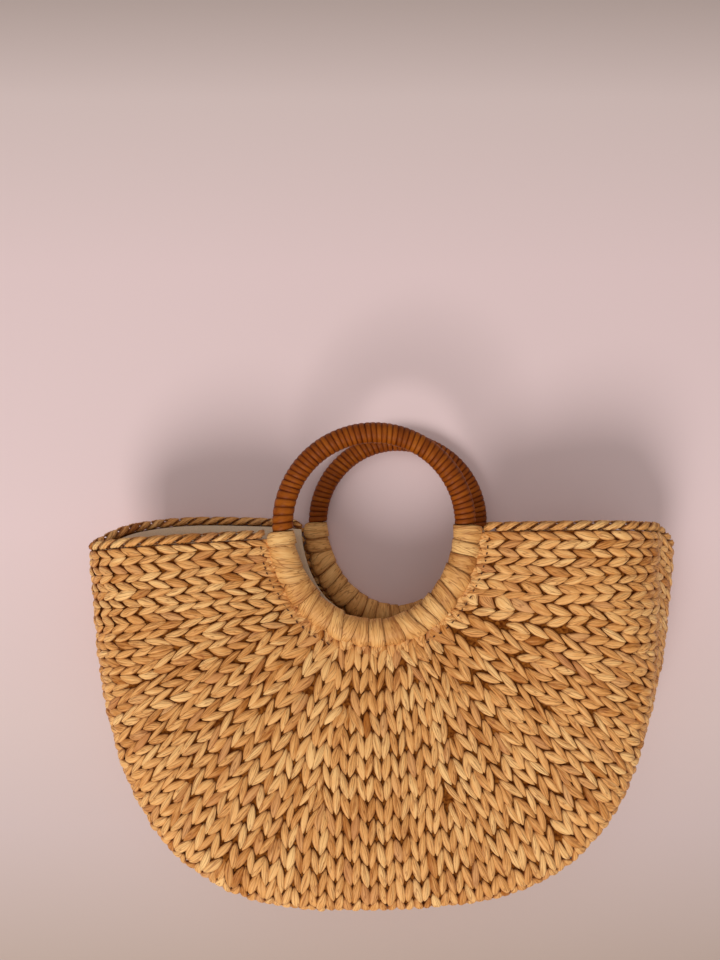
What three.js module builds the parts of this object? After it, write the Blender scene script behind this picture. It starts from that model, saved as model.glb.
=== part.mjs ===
// A half-moon basket bag, woven from plaited water hyacinth, lying on its back.
// It has a stiff hollow woven shell with a lens-shaped mouth, a thin cloth lining, a rope
// edge along each half of the mouth, and two round rings. The lower half of each ring is
// wrapped in broad straw strips and joins the shell, and the upper half is the grip.
// Units are millimetres. The bag lies in the XY plane: +X is to the right across the front,
// +Y points from the basket's bottom towards the grips, and +Z goes up through the front.

import * as THREE from 'three';

// Driving dimensions
const basketHalfWidth = 202.5; // from the middle of the basket to its side, at the mouth
const basketDrop = 260;        // from the mouth down to the basket's bottom
const basketDepth = 104;       // from the back that it lies on to the front's highest part
const outlineSquareness = 2.95; // 2 is half an ellipse, and more has fuller corners
const sideTaper = 0.05;        // how much narrower the outline gets towards the bottom
const wallThickness = 5.5;     // one plait of water hyacinth
const bottomRounding = 27;     // how far in from the outline the wall turns, at the bottom
const mouthRounding = 56;      // and at the two ends of the mouth
const bottomBoxiness = 3.3;    // 2 turns as half an ellipse, and more turns at two edges
const mouthBoxiness = 2.1;
const mouthCornerDip = 6;      // how far the mouth's two ends hang below the rings
const frontBelly = 18.25;      // how far the front swells out past the wall beside its ring

const ringRadius = 62.5;       // centre line of the grip
const gripThickness = 13.6;
const wrapHalfWidth = 64;      // centre line of the wrapped lower half, sideways
const wrapDrop = 74.5;         // and downwards, because that half is drawn out by the weave
const wrapWidth = 21;          // across the straw wrap, in the ring's plane
const wrapDepth = 16;          // through the straw wrap
const wrapTurns = 17;
const wrapGroove = 1.1;        // depth of the groove between two turns of the wrap

const ropeDiameter = 5.5;      // the edge of the mouth
const ropeBelowRing = 4;       // from the rings' centres down to the middle of the rope
const gripEndBelowRing = 2;    // where the grip's winding stops

const liningThickness = 1;
const ropeStandoff = 0.9;      // between the rope and the shell's edge that it is sewn to
const ropeEndInset = 1.5;      // how far short of the rings the rope ends
const liningHem = 1.5;         // how far the lining stops below the shell's edge
const liningLooseness = 0.6;   // between the shell and the lining
const liningSlack = 0.8;       // how much deeper it passes behind the rings
const liningPastFront = 21;    // how far it runs on behind the front ring's wrap
const liningPastBack = 4;      // and behind the back ring's wrap
const clearance = 0.5;         // between other pieces that touch

// How the soft basket has settled: its back lies to the right of its front and a bit lower,
// and the two faces are turned against each other
const leanRight = 20;
const leanDown = 2.5;
const frontTurnDegrees = 2;
const backTurnDegrees = -2;
const leanEarliness = 3; // 1 leans evenly through the depth, and more leans close to the front
const shearBottom = 18;  // from the back up to this height the basket has slid as one

// Wales are the rows of plait that run from the ring out to the edge. Where a wale stands on
// the outline and on the ring, as shares of the two arcs from the left to the bottom. Wales
// run side by side next to the mouth and at the bottom, and fan out between the two.
const waleTable = [
  { outline: 0, ring: 0 },
  { outline: 0.081, ring: 0.21 },
  { outline: 0.4285, ring: 0.355 },
  { outline: 0.5, ring: 0.5 },
];

// How finely the solids are faceted
const walesAround = 34;
const frontSteps = 8;
const turnSteps = 10;
const backFlatSteps = 6;
const outlineSamples = 400;
const gripSections = 36;
const gripSides = 10;
const wrapSides = 10;
const ropeSections = 30;
const ropeSides = 6;

// What follows from them
const backRingHeight = wrapDepth / 2;
const frontJoinHeight = basketDepth - frontBelly;
const frontRingHeight = frontJoinHeight - wallThickness / 2;
const ropeLevel = -ropeBelowRing;
const shellTop = ropeLevel - ropeDiameter / 2 - ropeStandoff;
const shellDrop = basketDrop - wallThickness;
const wrapReach = wrapWidth / 2 + clearance;
const shearTop = frontRingHeight - wrapDepth / 2 - clearance;

const straw = new THREE.MeshStandardMaterial({ color: 0xc9924f, roughness: 0.75, metalness: 0 });
const wrapStraw = new THREE.MeshStandardMaterial({ color: 0xd0a05f, roughness: 0.6, metalness: 0 });
const rattan = new THREE.MeshStandardMaterial({ color: 0x8a4a1c, roughness: 0.45, metalness: 0 });
const cloth = new THREE.MeshStandardMaterial({ color: 0x9b8c7a, roughness: 0.9, metalness: 0 });

const bag = new THREE.Group();

// A closed body through a row of closed loops with as many points each. A loop runs so that
// its point i and its point length-1-i face each other, which is how its two ends are closed.
function loft(loops) {
  const size = loops[0].length;
  const positions = loops.flat().flatMap((point) => [point.x, point.y, point.z]);
  const faces = [];
  for (let row = 0; row < loops.length - 1; row += 1) {
    for (let i = 0; i < size; i += 1) {
      const a = row * size + i;
      const b = row * size + ((i + 1) % size);
      faces.push(a, a + size, b, b, a + size, b + size);
    }
  }
  const last = (loops.length - 1) * size;
  for (let i = 0; i < size / 2 - 1; i += 1) {
    const j = size - 1 - i;
    faces.push(i, i + 1, j, j, i + 1, j - 1);
    faces.push(last + i, last + j, last + i + 1, last + j, last + j - 1, last + i + 1);
  }
  const geometry = new THREE.BufferGeometry();
  geometry.setAttribute('position', new THREE.Float32BufferAttribute(positions, 3));
  geometry.setIndex(faces);
  return geometry;
}

// The signed volume, which is negative where the faces point in
function signedVolume(geometry) {
  const position = geometry.getAttribute('position');
  const index = geometry.getIndex();
  const corner = (i) => new THREE.Vector3().fromBufferAttribute(position, index.getX(i));
  let sum = 0;
  for (let i = 0; i < index.count; i += 3) {
    sum += corner(i).dot(corner(i + 1).cross(corner(i + 2))) / 6;
  }
  return sum;
}

function addPiece(name, loops, material) {
  const geometry = loft(loops);
  if (signedVolume(geometry) < 0) {
    geometry.setIndex([...geometry.getIndex().array].reverse());
  }
  geometry.computeVertexNormals();
  const mesh = new THREE.Mesh(geometry, material);
  mesh.name = name;
  bag.add(mesh);
}

// Eases from 0 to 1 between two values
function ease(value, from, to) {
  return THREE.MathUtils.smoothstep(value, from, to);
}

// Settles a point of the upright bag: the front stays, and the back is slid and turned
function settle(x, y, z) {
  const backness = 1 - ease(z, shearBottom, shearTop) ** leanEarliness;
  const turn = THREE.MathUtils.degToRad(
    THREE.MathUtils.lerp(frontTurnDegrees, backTurnDegrees, backness),
  );
  return new THREE.Vector3(
    x * Math.cos(turn) - y * Math.sin(turn) + leanRight * backness,
    x * Math.sin(turn) + y * Math.cos(turn) - leanDown * backness,
    z,
  );
}

// The half-moon outline from its left end to its right end, evenly spaced along its length
const outlinePoints = [];
for (let i = 0; i <= outlineSamples; i += 1) {
  const angle = Math.PI * (i / outlineSamples);
  const bend = 2 / outlineSquareness;
  const across = -Math.sign(Math.cos(angle)) * Math.abs(Math.cos(angle)) ** bend;
  const down = Math.sin(angle) ** bend;
  outlinePoints.push(new THREE.Vector2(
    basketHalfWidth * across * (1 - sideTaper * down),
    shellTop - shellDrop * down,
  ));
}
const outlineLengths = [0];
for (let i = 1; i <= outlineSamples; i += 1) {
  outlineLengths.push(outlineLengths[i - 1] + outlinePoints[i].distanceTo(outlinePoints[i - 1]));
}

function outlinePoint(share) {
  const wanted = share * outlineLengths[outlineSamples];
  let i = 1;
  while (i < outlineSamples && outlineLengths[i] < wanted) {
    i += 1;
  }
  const before = outlineLengths[i - 1];
  const part = (wanted - before) / (outlineLengths[i] - before);
  return outlinePoints[i - 1].clone().lerp(outlinePoints[i], part);
}

// The share of the ring's arc that belongs to a share of the outline, along smooth curves
// through the table's rows
function ringShare(share) {
  if (share > 0.5) {
    return 1 - ringShare(1 - share);
  }
  const slopes = waleTable.map((row, i) => {
    const before = waleTable[Math.max(i - 1, 0)];
    const after = waleTable[Math.min(i + 1, waleTable.length - 1)];
    const left = (row.ring - before.ring) / (row.outline - before.outline || 1);
    const right = (after.ring - row.ring) / (after.outline - row.outline || 1);
    return i === 0 ? right : i === waleTable.length - 1 ? left : 2 * left * right / (left + right);
  });
  let i = 0;
  while (i < waleTable.length - 2 && share > waleTable[i + 1].outline) {
    i += 1;
  }
  const from = waleTable[i];
  const to = waleTable[i + 1];
  const width = to.outline - from.outline;
  const t = (share - from.outline) / width;
  return (
    (2 * t ** 3 - 3 * t ** 2 + 1) * from.ring
    + (t ** 3 - 2 * t ** 2 + t) * width * slopes[i]
    + (3 * t ** 2 - 2 * t ** 3) * to.ring
    + (t ** 3 - t ** 2) * width * slopes[i + 1]
  );
}

// A point beside the wrapped half of the ring, the given distance out from its centre line.
// Share 0 and 1 are where the shell's edge meets the ring.
function ringPoint(share, out) {
  const start = Math.asin(-shellTop / (wrapDrop + out));
  const angle = start + (Math.PI - 2 * start) * share;
  return new THREE.Vector2(
    -(wrapHalfWidth + out) * Math.cos(angle),
    -(wrapDrop + out) * Math.sin(angle),
  );
}

// The wall's middle stands level with the ring where the two meet
const backJoinHeight = backRingHeight - wallThickness / 2;
const backLiftShare = 0.3; // the share of the back that rises to its ring

// The section of the outer face along one wale, from the front ring over the edge to the
// back ring. across is measured from the ring in the plane of the table, height from the
// table, and the normal points out of the basket.
function waleSection({ length, rounding, boxiness }) {
  const section = [];
  const flat = length - rounding;
  for (let i = 0; i < frontSteps; i += 1) {
    const s = i / frontSteps;
    const slope = 2 * frontBelly * (1 - s) / flat;
    section.push({
      across: flat * s,
      height: frontJoinHeight + frontBelly * (1 - (1 - s) ** 2),
      normal: new THREE.Vector2(-slope, 1).normalize(),
    });
  }
  for (let i = 0; i <= turnSteps; i += 1) {
    const angle = Math.PI * (i / turnSteps);
    const out = Math.sin(angle) ** (2 / boxiness);
    const up = Math.sign(Math.cos(angle)) * Math.abs(Math.cos(angle)) ** (2 / boxiness);
    section.push({
      across: flat + rounding * out,
      height: basketDepth * (1 + up) / 2,
      normal: new THREE.Vector2(
        out ** (boxiness - 1) * basketDepth / 2,
        Math.sign(up) * Math.abs(up) ** (boxiness - 1) * rounding,
      ).normalize(),
    });
  }
  for (let i = 1; i <= backFlatSteps; i += 1) {
    const s = 1 - i / backFlatSteps;
    const lift = Math.max(0, 1 - s / backLiftShare);
    section.push({
      across: flat * s,
      height: backJoinHeight * lift ** 2,
      normal: new THREE.Vector2(0, -1),
    });
  }
  return section;
}

// The plan of one wale: where it leaves the ring, which way it runs and how long it is
function walePlan(share) {
  const start = ringPoint(ringShare(share), wrapReach);
  const end = outlinePoint(share);
  const length = start.distanceTo(end);
  const direction = end.clone().sub(start).divideScalar(length);
  const mouthness = Math.abs(Math.cos(Math.PI * share)) ** 4;
  const rounding = THREE.MathUtils.lerp(bottomRounding, mouthRounding, mouthness);
  const boxiness = THREE.MathUtils.lerp(bottomBoxiness, mouthBoxiness, mouthness);
  return { start, direction, length, rounding, boxiness, share };
}

// One point of the basket, the given distance inside its outer face, and sunk further into
// the basket by another distance
function basketPoint(plan, station, inside, sunk = 0) {
  const across = station.across - inside * station.normal.x;
  const height = station.height - inside * station.normal.y - sunk * Math.sign(station.normal.y);
  const dipFall = Math.max(0, 1 - Math.min(plan.share, 1 - plan.share) / 0.12);
  const dip = mouthCornerDip * (station.across / plan.length) ** 4 * dipFall ** 2;
  return settle(
    plan.start.x + plan.direction.x * across,
    plan.start.y + plan.direction.y * across - dip,
    height,
  );
}

function shellLoops() {
  const loops = [];
  for (let i = 0; i <= walesAround; i += 1) {
    const plan = walePlan(i / walesAround);
    const section = waleSection(plan);
    const outer = section.map((station) => basketPoint(plan, station, 0));
    const inner = section.map((station) => basketPoint(plan, station, wallThickness));
    loops.push([...outer, ...inner.reverse()]);
  }
  return loops;
}

// The lining follows the shell's inner face, and runs on behind both rings
function liningLoops() {
  const nearFace = wallThickness + liningLooseness;
  const sinkBehindRing = (wrapDepth - wallThickness) / 2 + liningSlack;
  const sinkShare = 0.2;
  const hem = liningHem / outlineLengths[outlineSamples];
  const loops = [];
  for (let i = 0; i <= walesAround; i += 1) {
    const plan = walePlan(THREE.MathUtils.clamp(i / walesAround, hem, 1 - hem));
    const section = waleSection(plan);
    const behindFrontRing = {
      across: -liningPastFront,
      height: section[0].height,
      normal: new THREE.Vector2(0, 1),
    };
    const behindBackRing = {
      across: -liningPastBack,
      height: section[section.length - 1].height,
      normal: new THREE.Vector2(0, -1),
    };
    const stations = [behindFrontRing, ...section, behindBackRing];
    const face = (inside) => stations.map((station) => {
      const sunk = sinkBehindRing * (1 - ease(station.across / plan.length, 0, sinkShare));
      return basketPoint(plan, station, inside, sunk);
    });
    loops.push([...face(nearFace + liningThickness), ...face(nearFace).reverse()]);
  }
  return loops;
}

// A closed oval loop round a point of a centre line that lies flat at one height
function ovalLoop(centre, sideways, halfWidth, halfDepth, sides) {
  const loop = [];
  for (let i = 0; i < sides; i += 1) {
    const angle = 2 * Math.PI * ((i + 0.5) / sides);
    loop.push(new THREE.Vector3(
      centre.x + sideways.x * halfWidth * Math.cos(angle),
      centre.y + sideways.y * halfWidth * Math.cos(angle),
      centre.z + halfDepth * Math.sin(angle),
    ));
  }
  return loop;
}

function settleLoop(loop) {
  return loop.map((point) => settle(point.x, point.y, point.z));
}

// The grip, a little more than the upper half of the ring
function gripLoops(height) {
  const extra = Math.asin(gripEndBelowRing / ringRadius);
  const radius = gripThickness / 2 / Math.cos(Math.PI / gripSides);
  const loops = [];
  for (let i = 0; i <= gripSections; i += 1) {
    const angle = -extra + (Math.PI + 2 * extra) * (i / gripSections);
    const atEnd = i === 0 || i === gripSections;
    const centre = new THREE.Vector3(
      ringRadius * Math.cos(angle), ringRadius * Math.sin(angle), height,
    );
    const outward = new THREE.Vector2(Math.cos(angle), atEnd ? 0 : Math.sin(angle)).normalize();
    loops.push(settleLoop(ovalLoop(centre, outward, radius, radius, gripSides)));
  }
  return loops;
}

// The wrapped lower half: each turn of straw swells between two grooves
function wrapLoops(height) {
  const startAngle = Math.asin((gripEndBelowRing + clearance) / wrapDrop);
  const steps = wrapTurns * 3;
  const loops = [];
  for (let i = 0; i <= steps; i += 1) {
    const turn = Math.floor(i / 3);
    const within = [0, 0.2, 0.8][i % 3];
    const angle = startAngle + (Math.PI - 2 * startAngle) * ((turn + within) / wrapTurns);
    const groove = i % 3 === 0 ? wrapGroove : 0;
    const centre = new THREE.Vector3(
      -wrapHalfWidth * Math.cos(angle), -wrapDrop * Math.sin(angle), height,
    );
    const atEnd = i === 0 || i === steps;
    const outward = new THREE.Vector2(
      -Math.cos(angle) * wrapDrop,
      atEnd ? 0 : -Math.sin(angle) * wrapHalfWidth,
    ).normalize();
    const halfWidth = wrapWidth / 2 - groove;
    const halfDepth = wrapDepth / 2 - groove;
    loops.push(settleLoop(ovalLoop(centre, outward, halfWidth, halfDepth, wrapSides)));
  }
  return loops;
}

// The rope along one half of the mouth, from the front ring round the corner to the back ring
function ropeLoops(mouthEnd) {
  const plan = walePlan(mouthEnd);
  const section = waleSection(plan);
  const radius = ropeDiameter / 2;
  const outer = section.map((station) => basketPoint(plan, station, 0));
  const inner = section.map((station) => basketPoint(plan, station, wallThickness));
  const middle = outer.map((point, i) => point.clone().lerp(inner[i], 0.5));
  const path = new THREE.CatmullRomCurve3(middle.map((point, i) => {
    const before = middle[Math.max(i - 1, 0)];
    const after = middle[Math.min(i + 1, middle.length - 1)];
    const along = after.clone().sub(before);
    const rise = outer[i].clone().sub(inner[i]).cross(along).normalize();
    return point.clone().addScaledVector(rise, (radius + ropeStandoff) * Math.sign(rise.y));
  }));
  const inset = ropeEndInset / path.getLength();
  const loops = [];
  for (let i = 0; i <= ropeSections; i += 1) {
    const share = THREE.MathUtils.lerp(inset, 1 - inset, i / ropeSections);
    const centre = path.getPointAt(share);
    const along = path.getTangentAt(share);
    const side = new THREE.Vector3(0, 1, 0).cross(along).normalize();
    const up = along.clone().cross(side).normalize();
    const loop = [];
    for (let k = 0; k < ropeSides; k += 1) {
      const angle = 2 * Math.PI * ((k + 0.5) / ropeSides);
      loop.push(centre.clone()
        .addScaledVector(side, radius * Math.cos(angle))
        .addScaledVector(up, radius * Math.sin(angle)));
    }
    loops.push(loop);
  }
  return loops;
}

addPiece('basket_shell', shellLoops(), straw);
addPiece('lining', liningLoops(), cloth);
addPiece('mouth_rope_left', ropeLoops(0), straw);
addPiece('mouth_rope_right', ropeLoops(1), straw);
addPiece('ring_wrap_front', wrapLoops(frontRingHeight), wrapStraw);
addPiece('ring_wrap_back', wrapLoops(backRingHeight), wrapStraw);
addPiece('grip_front', gripLoops(frontRingHeight), rattan);
addPiece('grip_back', gripLoops(backRingHeight), rattan);

// The origin is on the table, under the middle of the bag
const extent = new THREE.Box3().setFromObject(bag);
const middle = extent.getCenter(new THREE.Vector3());
bag.position.set(-middle.x, -middle.y, -extent.min.z);
bag.updateMatrixWorld(true);

export default bag;
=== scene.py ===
# %% [markdown]
# # A half-moon basket bag of water hyacinth
# The bag lies on its back, and we look straight down on its front. It is plaited from dried
# water hyacinth in rows that run out from two round rings, as stitches run up a sock. The CAD
# model is the fixed frame: a smooth shell, a lining, two ropes, and two rings that are half
# straw-wrapped and half grip. Here each of them gets the real thing's surface: thousands of
# plump strands, broad straw straps and a tight brown winding round the rings, and cloth inside.

# %% Load the frame
import math

import bmesh
import bpy
import numpy as np
from mathutils import Matrix, Vector


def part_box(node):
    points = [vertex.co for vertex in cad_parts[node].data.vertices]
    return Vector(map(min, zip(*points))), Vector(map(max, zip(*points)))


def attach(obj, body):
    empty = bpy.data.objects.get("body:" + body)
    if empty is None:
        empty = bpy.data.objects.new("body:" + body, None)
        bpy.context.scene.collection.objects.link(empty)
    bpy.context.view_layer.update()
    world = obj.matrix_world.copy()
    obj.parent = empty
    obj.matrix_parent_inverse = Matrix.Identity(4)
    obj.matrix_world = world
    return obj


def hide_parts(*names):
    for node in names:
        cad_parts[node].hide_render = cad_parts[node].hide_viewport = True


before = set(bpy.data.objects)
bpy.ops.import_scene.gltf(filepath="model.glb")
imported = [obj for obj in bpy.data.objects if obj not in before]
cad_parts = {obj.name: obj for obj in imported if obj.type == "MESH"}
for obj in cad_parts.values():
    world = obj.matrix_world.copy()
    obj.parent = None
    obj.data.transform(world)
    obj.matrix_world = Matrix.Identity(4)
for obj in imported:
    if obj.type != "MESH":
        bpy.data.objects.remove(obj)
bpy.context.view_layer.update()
scene = bpy.context.scene
scene.view_settings.view_transform = "Standard"
print("nodes:", sorted(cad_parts))

# %% [markdown]
# ## Camera
# The photograph looks straight down, from a little to the left of the rings. A new camera
# already looks down, so it needs no turning. A lens of 28.5 mm on a 36 mm sensor has a phone's
# field of view, and the camera's height sets how much smaller the back ring looks than the
# front one. It gets its place as soon as we know where the front ring is.

# %% Camera
camera_height = 0.6036
camera_left_of_ring = 0.0096
camera_above_ring = 0.0301


def add_object(name, data):
    """A new object in the scene, at the origin"""
    made = bpy.data.objects.new(name, data)
    scene.collection.objects.link(made)
    return made


camera_data = bpy.data.cameras.new("camera")
camera_data.lens = 28.5
camera_data.sensor_width = 36
camera = add_object("camera", camera_data)
scene.camera = camera
print("lens, mm:", camera_data.lens)

# %% [markdown]
# ## The shape that everything sits on
# Every strand has to know where the basket's surface is and which way is out. The CAD mesh could
# tell that, but not which row of the plait a point belongs to. So the surface is a function of
# two shares: how far round the half-moon outline a row stands, from the left end of the mouth
# (0) to the right end (1), and how far along that row we are, from the front ring over the edge
# to the back ring. The sizes are the CAD model's, in metres.

# %% The basket's sizes
basket_half_width = 0.2025
basket_drop = 0.260
basket_depth = 0.104
outline_squareness = 2.95
side_taper = 0.05
wall = 0.0055
bottom_rounding = 0.027
mouth_rounding = 0.056
bottom_boxiness = 3.3
mouth_boxiness = 2.1
front_belly = 0.01825
back_curl = 0.3
mouth_corner_dip = 0.006
corner_dip_reach = 0.12

ring_radius = 0.0625
grip_radius = 0.0068
wrap_half_width = 0.064
wrap_drop = 0.0745
wrap_width = 0.021
wrap_depth = 0.016
rope_level = -0.004
rope_standoff = 0.0009
rope_diameter = 0.0055
clearance = 0.0005

shell_top = rope_level - rope_diameter / 2 - rope_standoff
plait_start = wrap_width / 2 + clearance
back_ring_height = wrap_depth / 2
back_join_height = back_ring_height - wall / 2
front_join_height = basket_depth - front_belly
front_ring_height = front_join_height - wall / 2
ring_heights = {"front": front_ring_height, "back": back_ring_height}
print("front ring at", round(front_ring_height * 1000, 2), "mm")

# %% [markdown]
# The photograph shows the back ring to the right of the front one, and both a little turned.
# One function slides and turns a point by its height, so that strands, straps and winding all
# lean in the same way as the CAD model.

# %% Slide and turn the back against the front
lean_right = 0.020
lean_down = 0.0025
front_turn = math.radians(2)
back_turn = math.radians(-2)
lean_earliness = 3
lean_starts = 0.018
lean_ends = front_ring_height - wrap_depth / 2 - clearance


def ease(value, low, high):
    """From 0 at low to 1 at high, with a soft start and end"""
    share = np.clip((value - low) / (high - low), 0, 1)
    return share * share * (3 - 2 * share)


def settle(x, y, z):
    backness = 1 - ease(z, lean_starts, lean_ends) ** lean_earliness
    turn = front_turn + (back_turn - front_turn) * backness
    return np.stack(
        [
            x * np.cos(turn) - y * np.sin(turn) + lean_right * backness,
            x * np.sin(turn) + y * np.cos(turn) - lean_down * backness,
            z + 0 * x,
        ],
        -1,
    )


print("a point on the back moves, mm:", np.round(settle(0.0, 0.0, 0.0)[:2] * 1000, 1))

# %% The half-moon outline
def outline_curve(samples=4000):
    """A rounded rectangle's lower half, and how far round it each point is"""
    angle = np.pi * np.linspace(0, 1, samples)
    bend = 2 / outline_squareness
    across = -np.sign(np.cos(angle)) * np.abs(np.cos(angle)) ** bend
    down = np.abs(np.sin(angle)) ** bend
    x = basket_half_width * across * (1 - side_taper * down)
    y = shell_top - (basket_drop - wall) * down
    length = np.concatenate([[0], np.cumsum(np.hypot(np.diff(x), np.diff(y)))])
    return x, y, length / length[-1]


outline_x, outline_y, outline_share = outline_curve()


def edge_point(share):
    return np.interp(share, outline_share, outline_x), np.interp(share, outline_share, outline_y)


print("lowest point of the outline, mm:", round(outline_y.min() * 1000, 1))

# %% Where a row starts on the ring
ring_share_table = np.array([(0, 0), (0.081, 0.21), (0.4285, 0.355), (0.5, 0.5)])


def smooth_through(table, share):
    """A smooth rising curve through the table's rows"""
    at, value = table[:, 0], table[:, 1]
    steps = np.diff(value) / np.diff(at)
    slopes = np.empty(len(at))
    slopes[0], slopes[-1] = steps[0], steps[-1]
    slopes[1:-1] = 2 * steps[:-1] * steps[1:] / (steps[:-1] + steps[1:])
    i = np.clip(np.searchsorted(at, share, side="left") - 1, 0, len(at) - 2)
    width = at[i + 1] - at[i]
    t = (share - at[i]) / width
    return (
        (2 * t**3 - 3 * t**2 + 1) * value[i]
        + (t**3 - 2 * t**2 + t) * width * slopes[i]
        + (3 * t**2 - 2 * t**3) * value[i + 1]
        + (t**3 - t**2) * width * slopes[i + 1]
    )


def mirrored(rule, share):
    """Applies a rule for the left half of the bag to both halves"""
    half = rule(np.minimum(share, 1 - share))
    return np.where(share > 0.5, 1 - half, half)


def grid_ring_share(share):
    return mirrored(lambda half: smooth_through(ring_share_table, half), share)


def ring_point(share, out):
    """A point beside the wrapped half of a ring, so far out from its centre line"""
    start = math.asin(-shell_top / (wrap_drop + out))
    angle = start + (math.pi - 2 * start) * share
    return -(wrap_half_width + out) * np.cos(angle), -(wrap_drop + out) * np.sin(angle)


print("a tenth of the outline starts at", np.round(grid_ring_share(np.array([0.1])), 3))

# %% One row's section
front_steps, turn_steps, back_steps = 64, 72, 64


def row_section(flat, rounding, boxiness):
    """How far out and how high a row is, from the front ring over the edge to the back ring"""
    s = np.arange(front_steps) / front_steps
    front_across = flat * s
    front_height = front_join_height + front_belly * (1 - (1 - s) ** 2) + 0 * flat
    angle = np.pi * np.arange(turn_steps + 1) / turn_steps
    power = 2 / boxiness
    turn_across = flat + rounding * np.abs(np.sin(angle)) ** power
    up = np.sign(np.cos(angle)) * np.abs(np.cos(angle)) ** power
    turn_height = basket_depth * (1 + up) / 2
    s = 1 - np.arange(1, back_steps + 1) / back_steps
    back_across = flat * s
    back_height = back_join_height * np.maximum(0, 1 - s / back_curl) ** 2 + 0 * flat
    across = np.concatenate([front_across, turn_across, back_across], 1)
    return across, np.concatenate([front_height, turn_height, back_height], 1)


print("steps on the front, over the edge and on the back:", front_steps, turn_steps, back_steps)

# %% The basket's outer face, with a line from ring to ring for each share of the outline
def basket_grid(shares):
    start_x, start_y = ring_point(grid_ring_share(shares), plait_start)
    end_x, end_y = edge_point(shares)
    length = np.hypot(end_x - start_x, end_y - start_y)
    mouthness = np.abs(np.cos(np.pi * shares)) ** 4
    rounding = bottom_rounding + (mouth_rounding - bottom_rounding) * mouthness
    boxiness = bottom_boxiness + (mouth_boxiness - bottom_boxiness) * mouthness
    flat = (length - rounding)[:, None]
    across, height = row_section(flat, rounding[:, None], boxiness[:, None])

    from_mouth = np.minimum(shares, 1 - shares)
    dip_fall = np.maximum(0, 1 - from_mouth / corner_dip_reach)[:, None]
    dip = mouth_corner_dip * (across / length[:, None]) ** 4 * dip_fall**2
    way_x = ((end_x - start_x) / length)[:, None]
    way_y = ((end_y - start_y) / length)[:, None]
    return settle(
        start_x[:, None] + way_x * across, start_y[:, None] + way_y * across - dip, height
    )


def facing_out(points):
    """Unit normals of a grid of points, pointing out of the basket"""
    along = np.gradient(points, axis=1)
    round_ = np.gradient(points, axis=0)
    normal = np.cross(round_, along)
    normal /= np.linalg.norm(normal, axis=-1, keepdims=True) + 1e-12
    if normal[len(points) // 2, front_steps // 2, 2] < 0:
        normal = -normal
    return normal


shares = np.linspace(0, 1, 241)
grid = basket_grid(shares)
print("lines and points on each:", grid.shape[:2])

# %% [markdown]
# The function counts from the middle of the front ring, and the CAD model from its own origin.
# The boxes of the two tell how far apart these are. Then the camera can have its place too.

# %% Put the surface where the CAD model is
shell_low, shell_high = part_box("basket_shell")
shell_middle = Vector((shell_low.x + shell_high.x, shell_low.y + shell_high.y, 0)) / 2
own_middle = (grid.reshape(-1, 3).min(0) + grid.reshape(-1, 3).max(0)) / 2
ring_centre = np.array([shell_middle.x - own_middle[0], shell_middle.y - own_middle[1], 0.0])
grid = grid + ring_centre
normals = facing_out(grid)
camera.location = (
    ring_centre[0] - camera_left_of_ring,
    ring_centre[1] + camera_above_ring,
    camera_height,
)
print("front ring's centre, mm:", np.round(ring_centre * 1000, 2))

# %% [markdown]
# ## Table and light
# The bag lies on a pale pink table. One big plane is enough for it, and its colour follows its own
# Y coordinate through a ramp, which paints the light's falloff as shade: darker and greyer near
# and far. The light is soft: a broad lamp from the lower left of the picture, a weak one from
# beyond its top and an even glow all round, so that no shadow has a sharp edge.

# %% Helpers for materials
def make_material(name):
    material = bpy.data.materials.new(name)
    material.use_nodes = True
    tree = material.node_tree
    return material, tree, tree.nodes["Principled BSDF"]


def add_node(tree, kind, links=(), **values):
    """A shader node with its inputs set to values or linked to other nodes' outputs"""
    node = tree.nodes.new(kind)
    for name, value in values.items():
        setattr(node, name, value)
    for socket, source in dict(links).items():
        if isinstance(source, bpy.types.NodeSocket):
            tree.links.new(source, node.inputs[socket])
        else:
            node.inputs[socket].default_value = source
    return node


def remap(tree, value, low, high, to_low, to_high):
    """Moves a value from one range to another, and holds it there"""
    links = {"Value": value, "From Min": low, "From Max": high}
    links.update({"To Min": to_low, "To Max": to_high})
    return add_node(tree, "ShaderNodeMapRange", links).outputs[0]


def colour_ramp(tree, level, stops):
    """Colours that follow a level; the stops are (position, colour) pairs, lowest first"""
    ramp = add_node(tree, "ShaderNodeValToRGB", {"Fac": level})
    elements = ramp.color_ramp.elements
    elements[0].position, elements[0].color = stops[0][0], (*stops[0][1], 1)
    elements[1].position, elements[1].color = stops[-1][0], (*stops[-1][1], 1)
    for position, colour in stops[1:-1]:
        elements.new(position).color = (*colour, 1)
    return ramp.outputs["Color"]


# %% Pale table
table_near, table_far = -0.254, 0.508
# the table's pink, with painted shade darker and greyer towards the near and far ends
table_pink_with_painted_falloff = (
    (0.00, (0.49, 0.37, 0.315)),
    (0.07, (0.56, 0.43, 0.39)),
    (0.14, (0.63, 0.49, 0.465)),
    (0.25, (0.72, 0.56, 0.53)),
    (0.45, (0.83, 0.63, 0.62)),
    (0.72, (0.83, 0.63, 0.62)),
    (0.90, (0.73, 0.58, 0.55)),
    (1.00, (0.52, 0.41, 0.375)),
)

floor_mesh = bmesh.new()
bmesh.ops.create_grid(floor_mesh, x_segments=1, y_segments=1, size=4)
floor_data = bpy.data.meshes.new("floor")
floor_mesh.to_mesh(floor_data)
floor_mesh.free()
floor = add_object("floor", floor_data)

table_paint, tree, shader = make_material("pale table")
place = add_node(tree, "ShaderNodeTexCoord").outputs["Object"]
_, y, _ = add_node(tree, "ShaderNodeSeparateXYZ", {"Vector": place}).outputs
away = remap(tree, y, table_near, table_far, 0.0, 1.0)
tree.links.new(colour_ramp(tree, away, table_pink_with_painted_falloff), shader.inputs["Base Color"])
shader.inputs["Roughness"].default_value = 0.75
floor_data.materials.append(table_paint)
print("table shades:", len(table_pink_with_painted_falloff))

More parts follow.
